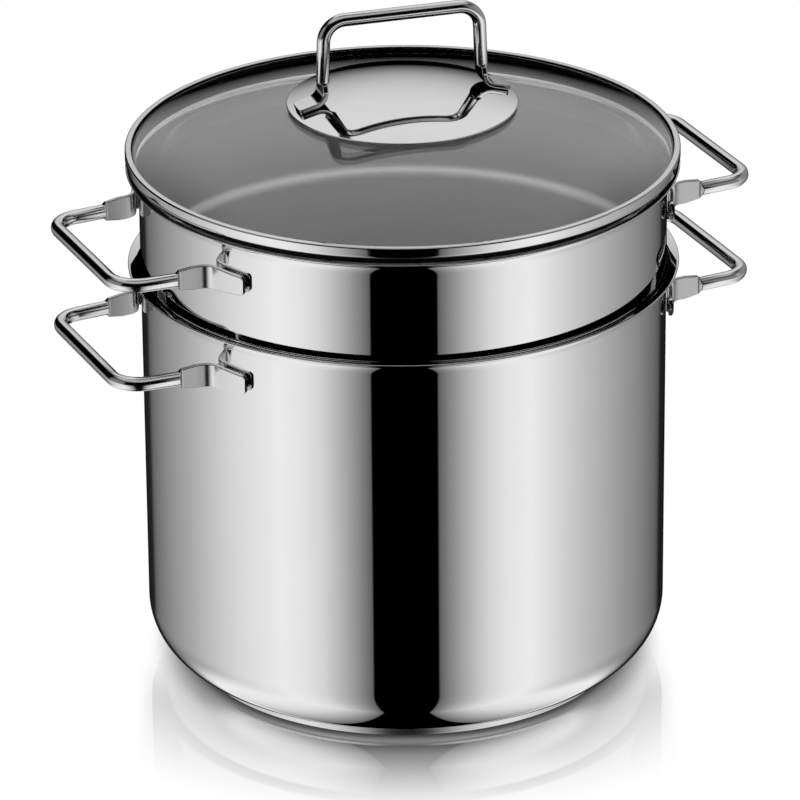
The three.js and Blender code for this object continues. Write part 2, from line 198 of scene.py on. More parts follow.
def steelFinish(name):
    look = steelLooks[name]
    material, nodes = newFinish(name)
    cloud = cloudNoise(nodes, steelGrain["cloud"], 3.0)
    grain = cloudNoise(nodes, steelGrain["grain"], 2.0)
    tint, share = steelGrain["tint"], steelGrain["cloudShare"]
    darker, lighter = grey(look["colour"] - tint), grey(look["colour"] + tint, steelGrain["blue"])
    colour = nodes.mixColour(cloud, darker, lighter)
    roughness = look["roughness"] + (cloud * share + grain * (1 - share) - 0.5) * look["spread"]
    if "inside" in look:
        dullAndShadeColour, dullRoughness = look["inside"]
        satinAndShade = nodes.add("ShaderNodeAttribute", {"attribute_name": "satinAndShade"}, out="Fac")
        # painted shade: on the lid band this colour darkens the inside and underside
        colour = nodes.mixColour(satinAndShade, colour, grey(dullAndShadeColour))
        roughness = roughness + satinAndShade * (dullRoughness - look["roughness"])
    return endFinish(material, nodes, {"Base Color": colour, "Metallic": 1.0, "Roughness": roughness})


def glassFinish():
    material, nodes = newFinish("domeGlass")
    colour = nodes.mixColour(cloudNoise(nodes, glassLook["cloud"], 2.0), *glassLook["colours"])
    return endFinish(material, nodes, {
        "Base Color": colour, "Roughness": 0.0, "IOR": glassLook["index"], "Transmission Weight": 1.0})


def siliconeFinish():
    material, nodes = newFinish("greySilicone")
    cloud = cloudNoise(nodes, siliconeLook["cloud"], 3.0)
    colour = nodes.mixColour(cloud, *siliconeLook["colours"])
    return endFinish(material, nodes, {
        "Base Color": colour, "Roughness": siliconeLook["roughness"] + cloud * siliconeLook["spread"]})


finishes = {name: steelFinish(name) for name in steelLooks}
finishes["domeGlass"] = glassFinish()
finishes["greySilicone"] = siliconeFinish()
print("finishes:", len(finishes))


# Shape trees. Each takes the piece's own points as its geometry.
meshing = {
    "merge": 0.02 * mm,
    "weld": 0.03 * mm,  # between the strainer's parts
    "crease": math.radians(32),  # edges sharper than this stay sharp
    "bailCrease": math.radians(50),
    "holeSides": 16,
    "rimInset": 0.05 * mm,  # faces further out than this are the bottom's rim
}


def newShapeTree(name, inputs):
    tree = bpy.data.node_groups.new(name, "GeometryNodeTree")
    tree.interface.new_socket("Geometry", in_out="INPUT", socket_type="NodeSocketGeometry")
    for label, kind in inputs:
        tree.interface.new_socket(label, in_out="INPUT", socket_type=kind)
    tree.interface.new_socket("Geometry", in_out="OUTPUT", socket_type="NodeSocketGeometry")
    nodes = Nodes(tree)
    start = nodes.add("NodeGroupInput")
    return nodes, [Wire(nodes, socket) for socket in start.socket.node.outputs]


def storeSatinAndShade(nodes, shape, satinAndShade):
    return nodes.add("GeometryNodeStoreNamedAttribute", {"data_type": "FLOAT", "domain": "POINT"}, {
        "Geometry": shape, "Name": "satinAndShade", "Value": satinAndShade})


def joinShapes(nodes, *parts):
    joined = nodes.add("GeometryNodeJoinGeometry")
    for part in parts:
        nodes.tree.links.new(part.socket, joined.socket.node.inputs[0])
    return joined


# Doubles are merged, creases over the limit stay sharp, and the finish goes on last.
def endShapeTree(nodes, shape, finish):
    shape = nodes.add("GeometryNodeRealizeInstances", sockets={"Geometry": shape})
    shape = nodes.add("GeometryNodeMergeByDistance", sockets={
        "Geometry": shape, "Distance": meshing["merge"]})
    shape = nodes.add("GeometryNodeSetShadeSmooth", {"domain": "FACE"}, {
        "Geometry": shape, "Shade Smooth": True})
    angle = nodes.add("GeometryNodeInputMeshEdgeAngle")
    shape = nodes.add("GeometryNodeSetShadeSmooth", {"domain": "EDGE"}, {
        "Geometry": shape, "Selection": angle > meshing["crease"], "Shade Smooth": False})
    shape = nodes.add("GeometryNodeSetMaterial", sockets={"Geometry": shape, "Material": finish})
    nodes.add("NodeGroupOutput", sockets={0: shape})


# A profile of (radius, satin and painted shade, height) points is turned about the upright axis.
def turningTree():
    nodes, (profile, segments, finish, _) = newShapeTree("turned", [
        ("Segments", "NodeSocketInt"), ("Finish", "NodeSocketMaterial")])
    count = nodes.add("GeometryNodeAttributeDomainSize", {"component": "MESH"}, {"Geometry": profile})
    sheet = nodes.add("GeometryNodeMeshGrid", sockets={
        "Size X": 1.0, "Size Y": 1.0, "Vertices X": segments + 1, "Vertices Y": count})
    around, along, _ = nodes.split(nodes.add("GeometryNodeInputPosition"))
    index = ((along + 0.5) * (count - 1) + 0.5).floor()
    point = nodes.add("GeometryNodeSampleIndex", {"data_type": "FLOAT_VECTOR", "domain": "POINT"}, {
        "Geometry": profile, "Value": nodes.add("GeometryNodeInputPosition"), "Index": index})
    radius, satinAndShade, height = nodes.split(point)
    shape = storeSatinAndShade(nodes, sheet, satinAndShade)
    turn = (around + 0.5) * (2 * math.pi)
    spot = nodes.join(radius * turn.cos(), radius * turn.sin(), height)
    shape = nodes.add("GeometryNodeSetPosition", sockets={"Geometry": shape, "Position": spot})
    endShapeTree(nodes, shape, finish)
    return nodes.tree


# A tile with a hole in it, laid in staggered rows and wrapped round the wall. The tile's depth is
# 0 on the outside and 1 mm on the inside.
def sieveWallTree():
    nodes, (tile, holes, rows, pitch, top, radius, phase, finish, _) = newShapeTree("sieveWall", [
        ("Holes", "NodeSocketInt"), ("Rows", "NodeSocketInt"), ("Row pitch", "NodeSocketFloat"),
        ("Top row", "NodeSocketFloat"), ("Radius", "NodeSocketFloat"), ("Phase", "NodeSocketFloat"),
        ("Finish", "NodeSocketMaterial")])
    number = nodes.add("GeometryNodeInputIndex")
    row = (number / holes + 0.0001).floor()  # a hair more, so that whole numbers don't fall short
    column = number - row * holes
    step = (2 * math.pi) / holes
    seats = nodes.add("GeometryNodePoints", sockets={
        "Count": holes * rows,
        "Position": nodes.join((column + (row % 2) * 0.5) * step * radius, 0.0, top - row * pitch)})
    tiles = nodes.add("GeometryNodeInstanceOnPoints", sockets={"Points": seats, "Instance": tile})
    shape = nodes.add("GeometryNodeRealizeInstances", sockets={"Geometry": tiles})
    along, depth, height = nodes.split(nodes.add("GeometryNodeInputPosition"))
    shape = storeSatinAndShade(nodes, shape, depth / mm)
    turn = along / radius + phase
    spot = nodes.join((radius - depth) * turn.cos(), (radius - depth) * turn.sin(), height)
    shape = nodes.add("GeometryNodeSetPosition", sockets={"Geometry": shape, "Position": spot})
    endShapeTree(nodes, shape, finish)
    return nodes.tree


# The flat bottom: rings of holes cut out of a disc, which is then given the sheet's thickness.
def sieveBottomTree():
    nodes, (seats, radius, segments, hole, bottom, sheet, finish, _) = newShapeTree("sieveBottom", [
        ("Radius", "NodeSocketFloat"), ("Segments", "NodeSocketInt"), ("Hole", "NodeSocketFloat"),
        ("Bottom", "NodeSocketFloat"), ("Sheet", "NodeSocketFloat"), ("Finish", "NodeSocketMaterial")])
    rim = nodes.add("GeometryNodeCurvePrimitiveCircle", sockets={
        "Resolution": segments, "Radius": radius})
    hoop = nodes.add("GeometryNodeCurvePrimitiveCircle", sockets={
        "Resolution": meshing["holeSides"], "Radius": hole})
    cuts = nodes.add("GeometryNodeInstanceOnPoints", sockets={"Points": seats, "Instance": hoop})
    cuts = nodes.add("GeometryNodeRealizeInstances", sockets={"Geometry": cuts})
    lines = joinShapes(nodes, rim, cuts)
    disc = nodes.add("GeometryNodeFillCurve", {"mode": "TRIANGLES"}, {"Curve": lines})
    inside = nodes.add("GeometryNodeExtrudeMesh", {"mode": "FACES"}, {
        "Mesh": disc, "Offset": nodes.join(0.0, 0.0, 1.0), "Offset Scale": sheet, "Individual": False})
    x, y, _ = nodes.split(nodes.add("GeometryNodeInputPosition"))
    limit = radius - meshing["rimInset"]
    edge = (x * x + y * y) > limit * limit
    inside = nodes.add("GeometryNodeDeleteGeometry", {"domain": "FACE", "mode": "ONLY_FACE"}, {
        "Geometry": inside, "Selection": edge})
    under = nodes.add("GeometryNodeFlipFaces", sockets={"Mesh": disc})
    both = joinShapes(nodes, under, inside)
    _, _, height = nodes.split(nodes.add("GeometryNodeInputPosition"))
    shape = storeSatinAndShade(nodes, both, height / sheet)
    shape = nodes.add("GeometryNodeSetPosition", sockets={
        "Geometry": shape, "Offset": nodes.join(0.0, 0.0, bottom)})
    endShapeTree(nodes, shape, finish)
    return nodes.tree


shapeTrees = {"turned": turningTree(), "sieveWall": sieveWallTree(), "sieveBottom": sieveBottomTree()}
print("shape trees:", ", ".join(shapeTrees))


def newObject(name, points, faces=()):
    mesh = bpy.data.meshes.new(name)
    mesh.from_pydata(points, [], faces)
    piece = bpy.data.objects.new(name, mesh)
    scene.collection.objects.link(piece)
    return piece


# Runs a piece's points through a shape tree and leaves a plain mesh.
def shaped(piece, treeName, values):
    tree = shapeTrees[treeName]
    modifier = piece.modifiers.new(treeName, "NODES")
    modifier.node_group = tree
    for item in tree.interface.items_tree:
        if item.in_out == "INPUT" and item.name in values:
            modifier[item.identifier] = values[item.name]
    depsgraph = bpy.context.evaluated_depsgraph_get()
    mesh = bpy.data.meshes.new_from_object(
        piece.evaluated_get(depsgraph), preserve_all_data_layers=True, depsgraph=depsgraph)
    piece.modifiers.remove(modifier)
    piece.data = mesh
    return piece


# Profiles are lists of (radius, height, satin and painted shade) in millimetres.
def arcLine(radius, height, bend, start, end, steps, satinAndShade=0.0):
    line = []
    for step in range(steps + 1):
        angle = math.radians(start + (end - start) * step / steps)
        line.append((radius + bend * math.cos(angle), height + bend * math.sin(angle), satinAndShade))
    return line


# Rings close to both ends of a straight run keep the shading of flat and upright faces true.
def heldRuns(profile, inset=0.5, longRun=2.4):
    held = [profile[0]]
    for a, b in zip(profile, profile[1:]):
        length = math.dist(a[:2], b[:2])
        if length > longRun:
            for share in (inset / length, 1 - inset / length):
                held.append(tuple(a[i] + (b[i] - a[i]) * share for i in range(3)))
        held.append(b)
    return held


# A closed outline of corner points, walked the same way as a profile. A corner is rounded by its
# own third value, or by the bend given for all.
def roundedOutline(corners, plainBend, steps=5, satinAndShade=0.0):
    outline = []
    sharp = [Vector(corner[:2]) for corner in corners]
    for index, point in enumerate(sharp):
        bend = corners[index][2] if len(corners[index]) > 2 else plainBend
        back = (sharp[index - 1] - point).normalized()
        ahead = (sharp[(index + 1) % len(sharp)] - point).normalized()
        half = math.acos(max(-1.0, min(1.0, back.dot(ahead)))) / 2
        cut = bend / math.tan(half)
        centre = point + (back + ahead).normalized() * (bend / math.sin(half))
        first = point + back * cut - centre
        last = point + ahead * cut - centre
        turn = first.angle_signed(last)
        for step in range(steps + 1):
            arm = first.copy()
            arm.rotate(Matrix.Rotation(-turn * step / steps, 2))
            outline.append((*(centre + arm), satinAndShade))
    return outline + outline[:1]


def turnedPiece(name, profile, finish, segments=256):
    points = [(radius * mm, satinAndShade, height * mm) for radius, height, satinAndShade in heldRuns(profile)]
    return shaped(newObject(name, points), "turned", {"Segments": segments, "Finish": finishes[finish]})


# Four-cornered faces between two rings of points, by the numbers of their first points.
def ringFaces(first, second, size):
    nexts = [(i, (i + 1) % size) for i in range(size)]
    return [(first + i, first + j, second + j, second + i) for i, j in nexts]


def seatPiece(piece, body, slot, *nodes):
    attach(piece, body)
    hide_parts(*nodes)


# Pot and strainer: one sheet, one lip.
shell = {
    "innerRadius": 120.0,
    "sheet": 1.0,
    "leadBend": 10.8,  # inside, where the wall starts to open
    "leadTurn": 19.0,
    "lipBend": 3.5,  # inside, from there into the lip's slope
    "lipTurn": 70.0,
    "lipRun": 4.1,
    "lipSteps": 8,
}
outerRadius = shell["innerRadius"] + shell["sheet"]


# From the wall's outside round the lip's edge to the wall's inside.
def lipLine(top):
    sheet, steps = shell["sheet"], shell["lipSteps"]
    lead, bend, run = shell["leadBend"], shell["lipBend"], shell["lipRun"]
    first, last = shell["leadTurn"], shell["lipTurn"]
    side = Vector((-math.cos(math.radians(first)), math.sin(math.radians(first))))
    slopeSide = Vector((-math.cos(math.radians(last)), math.sin(math.radians(last))))
    slope = Vector((slopeSide.y, -slopeSide.x))
    rise = (lead - bend) * side.y + bend * slopeSide.y + run * slope.y
    leadCentre = Vector((shell["innerRadius"] + lead, top - rise))
    bendCentre = leadCentre + side * (lead - bend)
    tip = bendCentre + slopeSide * (bend - sheet / 2) + slope * (run - sheet / 2)
    return [
        *arcLine(*leadCentre, lead - sheet, 180, 180 - first, steps),
        *arcLine(*bendCentre, bend - sheet, 180 - first, 180 - last, steps)[1:],
        *arcLine(*tip, sheet / 2, -last, 180 - last, steps),
        *arcLine(*bendCentre, bend, 180 - last, 180 - first, steps),
        *arcLine(*leadCentre, lead, 180 - first, 180, steps)[1:],
    ]


pot = {
    "height": 195.8,
    "bottom": 3.0,
    "corner": 25.0,
    "cornerSteps": 20,
    "satinDrop": 40.0,  # below the lip's edge, where the inside is satin
}


def potProfile():
    corner, bottom, sheet = pot["corner"], pot["bottom"], shell["sheet"]
    centre = outerRadius - corner
    return [
        (0, bottom, 0),
        *arcLine(centre, bottom + corner, corner, -90, 0, pot["cornerSteps"]),
        *lipLine(pot["height"]),
        (shell["innerRadius"], pot["height"] - pot["satinDrop"], 1),
        *arcLine(centre, bottom + corner, corner - sheet, 0, -90, pot["cornerSteps"], 1),
        (0, bottom + sheet, 1),
    ]


potShell = turnedPiece("potShell", potProfile(), "wallSteel")
seatPiece(potShell, "pot", "polished_steel", "pot_shell")

base = {"radius": 102.0, "rimTop": 3.246, "sheet": 0.8, "edge": 0.7, "edgeSteps": 5}


def baseProfile():
    radius, sheet, edge = base["radius"], base["sheet"], base["edge"]
    return [
        (0, 0, 0),
        *arcLine(radius - edge, edge, edge, -90, 0, base["edgeSteps"]),
        (radius, base["rimTop"], 0),
        (radius - sheet, base["rimTop"], 0),
        (radius - sheet, sheet, 0),
        (0, sheet, 0),
    ]


potBase = turnedPiece("potBase", baseProfile(), "baseSteel")
seatPiece(potBase, "pot", "base_steel", "base_cap")
print("pot turned")


# Strainer: turned shoulder, lip and corner, with a perforated wall and bottom between them.
strainer = {
    "top": 243.6,
    "bottom": 34.0,
    "lowerRadius": 117.5,
    "corner": 15.0,
    "cornerSteps": 14,
    "satinDrop": 25.0,
    "shoulderBend": 5.0,
    "shoulderSteps": 6,
    "shoulderHeight": 195.18,  # where the upper wall starts to turn in
    "holeRadius": 2.5,
    "collar": 1.2,  # width of the flat ring of faces round a hole
    "holesInRow": 38,
    "rows": 6,
    "rowPitch": 16.75,
    "firstRow": 148.8,
    "tileSegments": 8,  # along a tile; rows are staggered by half of them
    "phaseSteps": 3,
    "ringPitch": 16.75,
    "rings": 5,
    "ringHoles": 6,  # in the first ring, and more in each of the next
}
strainerSegments = strainer["holesInRow"] * strainer["tileSegments"]
wallTop = strainer["firstRow"] + strainer["rowPitch"] / 2
wallBottom = wallTop - strainer["rows"] * strainer["rowPitch"]


def strainerUpperProfile():
    sheet, bend, lower = shell["sheet"], strainer["shoulderBend"], strainer["lowerRadius"]
    tight = bend - sheet
    turn = math.degrees(math.acos(1 - (outerRadius - lower) / (bend + tight)))
    upperCentre, lowerCentre = outerRadius - bend, lower + tight
    upper, steps = strainer["shoulderHeight"], strainer["shoulderSteps"]
    low = upper - (bend + tight) * math.sin(math.radians(turn))
    return [
        (lower, wallTop, 0),
        *arcLine(lowerCentre, low, tight, 180, 180 - turn, steps),
        *arcLine(upperCentre, upper, bend, -turn, 0, steps)[1:],
        *lipLine(strainer["top"]),
        (shell["innerRadius"], strainer["top"] - strainer["satinDrop"], 1),
        *arcLine(upperCentre, upper, tight, 0, -turn, steps, 1),
        *arcLine(lowerCentre, low, bend, 180 - turn, 180, steps, 1)[1:],
        (lower - sheet, wallTop, 1),
    ]


def strainerCorner(inside):
    sheet, corner, lower = shell["sheet"], strainer["corner"], strainer["lowerRadius"]
    centre, height = lower - corner, strainer["bottom"] + corner
    if inside:
        return [(lower - sheet, wallBottom, 1),
                *arcLine(centre, height, corner - sheet, 0, -90, strainer["cornerSteps"], 1)]
    return [*arcLine(centre, height, corner, -90, 0, strainer["cornerSteps"]), (lower, wallBottom, 0)]


# One tile of the wall: an oblong with a round hole, both sides of the sheet and the hole's wall.
def tilePoints():
    half = math.pi * strainer["lowerRadius"] / strainer["holesInRow"]
    tall = strainer["rowPitch"] / 2
    count = strainer["tileSegments"]
    across = [-half + 2 * half * i / count for i in range(count)]
    upward = [-tall + 2 * tall * i / (count // 2) for i in range(count // 2)]
    rim = [(x, -tall) for x in across] + [(half, z) for z in upward]
    rim += [(-x, -z) for x, z in rim]
    radii = (strainer["holeRadius"] + strainer["collar"], strainer["holeRadius"])
    collar, hole = [[(radius * x / math.hypot(x, z), radius * z / math.hypot(x, z)) for x, z in rim]
                    for radius in radii]
    between = [((x + u) / 2, (z + v) / 2) for (x, z), (u, v) in zip(rim, collar)]
    rings = [rim, between, collar, hole]
    points, faces, size, last = [], [], len(rim), len(rings) - 1
    for depth in (0.0, 1.0):
        for ring in rings:
            points += [(x * mm, depth * shell["sheet"] * mm, z * mm) for x, z in ring]
    for side in (0, len(rings)):
        for ring in range(side, side + last):
            quads = ringFaces(ring * size, (ring + 1) * size, size)
            faces += quads if side == 0 else [quad[::-1] for quad in quads]
    faces += ringFaces(last * size, (last + len(rings)) * size, size)
    return points, faces


def bottomSeats():
    seats = [(0.0, 0.0, 0.0)]
    for ring in range(1, strainer["rings"] + 1):
        holes = strainer["ringHoles"] * ring
        for hole in range(holes):
            turn = 2 * math.pi * hole / holes
            radius = ring * strainer["ringPitch"] * mm
            seats.append((radius * math.cos(turn), radius * math.sin(turn), 0.0))
    return seats


# Joins turned and perforated parts that share their border points.
def welded(name, parts):
    with bpy.context.temp_override(active_object=parts[0], selected_editable_objects=parts):
        bpy.ops.object.join()
    body = bmesh.new()
    body.from_mesh(parts[0].data)
    bmesh.ops.remove_doubles(body, verts=body.verts, dist=meshing["weld"])
    body.to_mesh(parts[0].data)
    body.free()
    parts[0].name = name
    return parts[0]


def makeStrainer():
    finish = finishes["wallSteel"]
    turnedParts = [strainerUpperProfile(), strainerCorner(False), strainerCorner(True)]
    parts = [turnedPiece(f"strainerPart{i}", profile, "wallSteel", strainerSegments)
             for i, profile in enumerate(turnedParts)]
    parts.append(shaped(newObject("strainerWall", *tilePoints()), "sieveWall", {
        "Holes": strainer["holesInRow"], "Rows": strainer["rows"],
        "Row pitch": strainer["rowPitch"] * mm, "Top row": strainer["firstRow"] * mm,
        "Radius": strainer["lowerRadius"] * mm,
        "Phase": strainer["phaseSteps"] * 2 * math.pi / strainerSegments, "Finish": finish}))
    parts.append(shaped(newObject("strainerBottom", bottomSeats()), "sieveBottom", {
        "Radius": (strainer["lowerRadius"] - strainer["corner"]) * mm, "Segments": strainerSegments,
        "Hole": strainer["holeRadius"] * mm, "Bottom": strainer["bottom"] * mm,
        "Sheet": shell["sheet"] * mm, "Finish": finish}))
    return welded("strainerShell", parts)


strainerShell = makeStrainer()
seatPiece(strainerShell, "strainer", "strainer_steel", "strainer_shell")
print("strainer:", len(strainerShell.data.polygons), "faces")


# Bails: a bar on two arms whose flattened feet follow a round seat. Stations hold the centre line
# in the bail's plane, the heading there, how dull the face is, and the section's thickness, width and
# edge rounding.
bailMesh = {
    "footSteps": 12,
    "bendSteps": 8,
    "cornerSteps": 12,
    "swellShares": (0, 0.14, 0.28, 0.42, 0.56, 0.70, 0.80, 0.82, 0.87, 0.92, 0.97, 1),
    "crease": 0.8,  # share of the swell that stays flat
    "sectionSteps": 5,
    "roundest": 0.47,  # edge rounding against the section's thinner side
    "hold": 0.35,  # of the points beside a rounding
    "holdShare": 0.4,
}


def bailStations(bail):
    splay = math.radians(bail["splay"])
    inward = Vector((-math.cos(splay), math.sin(splay)))
    aside = Vector((math.sin(splay), math.cos(splay)))
    barEnd = Vector((bail["reach"], bail["halfSpan"]))
    bend, seat = bail["bend"], bail["footRadius"]
    offset = barEnd + aside * bend
    along = offset.dot(inward)
    armLength = -along - math.sqrt(along ** 2 - offset.length_squared + (seat + bend) ** 2)
    bendCentre = offset + inward * armLength
    footStart = math.atan2(bendCentre.y, bendCentre.x)
    footTurn = bail["footLength"] / seat
    rod = (bail["rod"], bail["rod"], bail["rod"] / 2)
    strap = (bail["strap"], bail["strapWidth"], bail["strapEdge"])
    stations = []
    # the foot tapers a little, and its end has rounded corners
    steps = bailMesh["footSteps"]
    for step in range(steps + 1):
        share = (step / steps) ** 2
        angle = footStart + footTurn * (1 - share)
        left = max(0.0, 1 - share * bail["footLength"] / bail["footCorner"])
        width = bail["strapWidth"] * (bail["footTaper"] + (1 - bail["footTaper"]) * share)
        width -= 2 * bail["footCorner"] * (1 - math.sqrt(1 - left ** 2))
        point = Vector((math.cos(angle), math.sin(angle))) * seat
        stations.append((point, angle - math.pi / 2, 0.0, bail["strap"], width, bail["strapEdge"]))
    bendFrom, bendTo = footStart + math.pi, 1.5 * math.pi - splay
    steps = bailMesh["bendSteps"]
    for step in range(1, steps + 1):
        angle = bendFrom + (bendTo - bendFrom) * step / steps
        point = bendCentre + Vector((math.cos(angle), math.sin(angle))) * bend
        stations.append((point, angle + math.pi / 2, bail["dull"] * step / steps, *strap))
    # the strap narrows to the rod, which is pressed flat at a crease
    swellTo = armLength - bail["strapLength"]
    swellFrom, crease = swellTo + bail["swell"], bailMesh["crease"]
    for share in bailMesh["swellShares"]:
        swell = max(0.0, share - crease) / (1 - crease)
        swell = swell * swell * (3 - 2 * swell)
        blends = (swell, (share + swell) / 2, swell)
        size = [a + (b - a) * blend for a, b, blend in zip(strap, rod, blends)]
        point = barEnd + inward * (swellFrom + (swellTo - swellFrom) * share)
        stations.append((point, -splay, bail["dull"] * (1 - swell), *size))
    cornerTurn = math.pi / 2 - splay
    cut = bail["corner"] * math.tan(cornerTurn / 2)
    centre = barEnd + inward * cut - aside * bail["corner"]
    steps = bailMesh["cornerSteps"]
    for step in range(steps + 1):
        angle = cornerTurn * (1 - step / steps)
        point = centre + Vector((math.cos(angle), math.sin(angle))) * bail["corner"]
        stations.append((point, angle - math.pi / 2, 0.0, *rod))
    mirrored = [(Vector((point.x, -point.y)), math.pi - heading, *rest)
                for point, heading, *rest in reversed(stations)]
    return stations + mirrored


# An oblong with rounded edges, and a row of points on each flat beside the rounding.
def bailSection(thick, wide, edge):
    steps, share = bailMesh["sectionSteps"], bailMesh["holdShare"]
    bend = min(edge, bailMesh["roundest"] * min(thick, wide))
    x, y = thick / 2 - bend, wide / 2 - bend
    hold = min(bailMesh["hold"], share * x, share * y)
    outline = []
    for quarter, (sx, sy) in enumerate(((1, 1), (-1, 1), (-1, -1), (1, -1))):
        start = math.pi / 2 * quarter
        arc = [(sx * x + bend * math.cos(start + math.pi / 2 * i / steps),
                sy * y + bend * math.sin(start + math.pi / 2 * i / steps)) for i in range(steps + 1)]
        before = (arc[0][0] + hold * math.sin(start), arc[0][1] - hold * math.cos(start))
        after = (arc[-1][0] - hold * math.cos(start), arc[-1][1] - hold * math.sin(start))
        outline += [before, *arc, after]
    return outline


def sweptBail(name, bail, basis, finish):
    sections, dullness = [], []
    for point, heading, dull, *size in bailStations(bail):
        across = Vector((-math.sin(heading), math.cos(heading)))
        sections.append([basis @ Vector((*(point + across * side), up)) * mm
                         for side, up in bailSection(*size)])
        dullness += [dull] * len(sections[-1])
    size = len(sections[0])
    faces = []
    for ring in range(len(sections) - 1):
        faces += ringFaces(ring * size, (ring + 1) * size, size)
    last = (len(sections) - 1) * size
    faces += [tuple(reversed(range(size))), tuple(range(last, last + size))]
    piece = newObject(name, [point for section in sections for point in section], faces)
    piece.data.attributes.new("satinAndShade", "FLOAT", "POINT").data.foreach_set("value", dullness)
    piece.data.shade_smooth()
    piece.data.set_sharp_from_angle(angle=meshing["bailCrease"])
    piece.data.materials.append(finishes[finish])
    return piece


sideHandle = {
    "azimuth": -156.3,
    "reach": 156.5,
    "halfSpan": 43.0,
    "splay": 3.6,
    "rod": 6.4,
    "corner": 13.0,
    "bend": 6.5,
    "strap": 2.2,
    "strapWidth": 11.0,
    "strapEdge": 0.5,
    "dull": 1.0,
    "strapLength": 11.5,
    "swell": 8.0,
    "footLength": 17.0,
    "footTaper": 0.78,
    "footCorner": 1.5,
    "footRadius": 123.5,
}
handleHeights = {"pot": 175.5, "strainer": 223.3}

for owner, height in handleHeights.items():
    for side, turn in (("Left", 0), ("Right", 180)):
        basis = Matrix.Translation((0, 0, height)) @ Matrix.Rotation(
            math.radians(sideHandle["azimuth"] + turn), 4, "Z")
        handle = sweptBail(f"{owner}Handle{side}", sideHandle, basis, "rodSteel")
        seatPiece(handle, owner, "handle_steel", f"{owner}_handle_{side.lower()}")
print("side handles swept")


# Lid.
lid = {
    "bandBottom": 246.1,
    "bandTop": 251.7,
    "bandSheet": 0.6,
    "bandEdge": 0.25,
    "bandTopBend": 0.9,
    "bandLowBend": 1.6,
    "bandShadeUnder": 0.05,  # this far up counts as its underside, which gets painted shade
    "rimRadius": 126.9,
    "flange": 2.9,
    "skirtRadius": 122.2,
    "skirtBottom": 242.5,
    "glassRadius": 126.0,
    "glassThickness": 3.0,
    "glassCurvature": 336.25,
    "glassApex": 274.5,
    "glassHole": 4.0,
    "glassSteps": 72,
    "plateRadius": 52.8,
    "plateSheet": 1.0,
    "plateCurvature": 168.24,
    "plateApex": 280.13,
    "plateSteps": 32,
    "plateEdgeSteps": 8,
    "plateSegments": 192,
}


def domeHeight(apex, curvature, radius):
    return apex - curvature + math.sqrt(curvature ** 2 - radius ** 2)


def domeLine(apex, curvature, start, end, steps):
    radii = [start + (end - start) * step / steps for step in range(steps + 1)]
    return [(radius, domeHeight(apex, curvature, radius), 0) for radius in radii]


def glassTop(radius):
    return domeHeight(lid["glassApex"], lid["glassCurvature"], radius)


def plateTop(radius):
    return domeHeight(lid["plateApex"], lid["plateCurvature"], radius)


def bandProfile():
    sheet, rim = lid["bandSheet"], lid["rimRadius"]
    skirt, low, top = lid["skirtRadius"], lid["bandBottom"], lid["bandTop"]
    topBend, lowBend = lid["bandTopBend"], lid["bandLowBend"]
    corners = [
        (skirt - sheet, lid["skirtBottom"]),
        (skirt, lid["skirtBottom"]),
        (skirt, low),
        (rim, low, lowBend),
        (rim, top, topBend),
        (rim - lid["flange"], top),
        (rim - lid["flange"], top - sheet),
        (rim - sheet, top - sheet, topBend - sheet),
        (rim - sheet, low + sheet, lowBend - sheet),
        (skirt - sheet, low + sheet),
    ]
    line = []
    for radius, height, _ in roundedOutline(corners, lid["bandEdge"]):
        # points on the band's inside and underside are marked for painted shade, near black in bandSteel
        wall = (rim if height > low + sheet / 2 else skirt) - sheet / 2
        paintedShade = radius < wall and height < top - sheet / 2 or height < low + lid["bandShadeUnder"]
        line.append((radius, height, float(paintedShade)))
    return line


def glassProfile():
    under = lid["glassApex"] - lid["glassThickness"]
    hole, rim, steps = lid["glassHole"], lid["glassRadius"], lid["glassSteps"]
    line = domeLine(under, lid["glassCurvature"], hole, rim, steps)
    line += domeLine(lid["glassApex"], lid["glassCurvature"], rim, hole, steps)
    return line + line[:1]


def plateProfile():
    rim, edge = lid["plateRadius"], lid["plateSheet"] / 2
    curvature, steps = lid["plateCurvature"], lid["plateSteps"]
    slope = math.degrees(math.asin(rim / curvature))
    height, tilt = plateTop(rim - edge) - edge, slope / 2
    return [
        *domeLine(lid["plateApex"] - lid["plateSheet"], curvature, 0, rim - edge, steps),
        *arcLine(rim - edge, height, edge, -90 - tilt, 90 - tilt, lid["plateEdgeSteps"])[1:-1],
        *domeLine(lid["plateApex"], curvature, rim - edge, 0, steps),
    ]


lidBand = turnedPiece("lidBand", bandProfile(), "bandSteel")
lidGlass = turnedPiece("lidGlass", glassProfile(), "domeGlass")
lidPlate = turnedPiece("lidPlate", plateProfile(), "plateSteel", lid["plateSegments"])
seatPiece(lidBand, "lid", "rim_steel", "lid_rim_band")
seatPiece(lidGlass, "lid", "lid_glass", "lid_glass")
seatPiece(lidPlate, "lid", "plate_steel", "lid_plate")

bow = {
    "azimuth": -162.8,
    "reach": lid["plateCurvature"] + 34.2,
    "halfSpan": 36.7,
    "splay": 2.0,
    "rod": 6.0,
    "corner": 10.0,
    "bend": 6.0,
    "strap": 2.4,
    "strapWidth": 12.0,
    "strapEdge": 0.5,
    "dull": 0.0,
    "strapLength": 4.0,
    "swell": 3.0,
    "footLength": 8.0,
    "footTaper": 0.95,
    "footCorner": 1.0,
    "footRadius": lid["plateCurvature"] + 1.5,
}
upright = Matrix(((0, 1, 0, 0), (0, 0, 1, 0), (1, 0, 0, 0), (0, 0, 0, 1)))
bowBasis = Matrix.Translation((0, 0, lid["plateApex"] - lid["plateCurvature"]))
bowBasis = bowBasis @ Matrix.Rotation(math.radians(bow["azimuth"]), 4, "Z") @ upright
lidBow = sweptBail("lidBow", bow, bowBasis, "rodSteel")
seatPiece(lidBow, "lid", "handle_steel", "lid_bow")

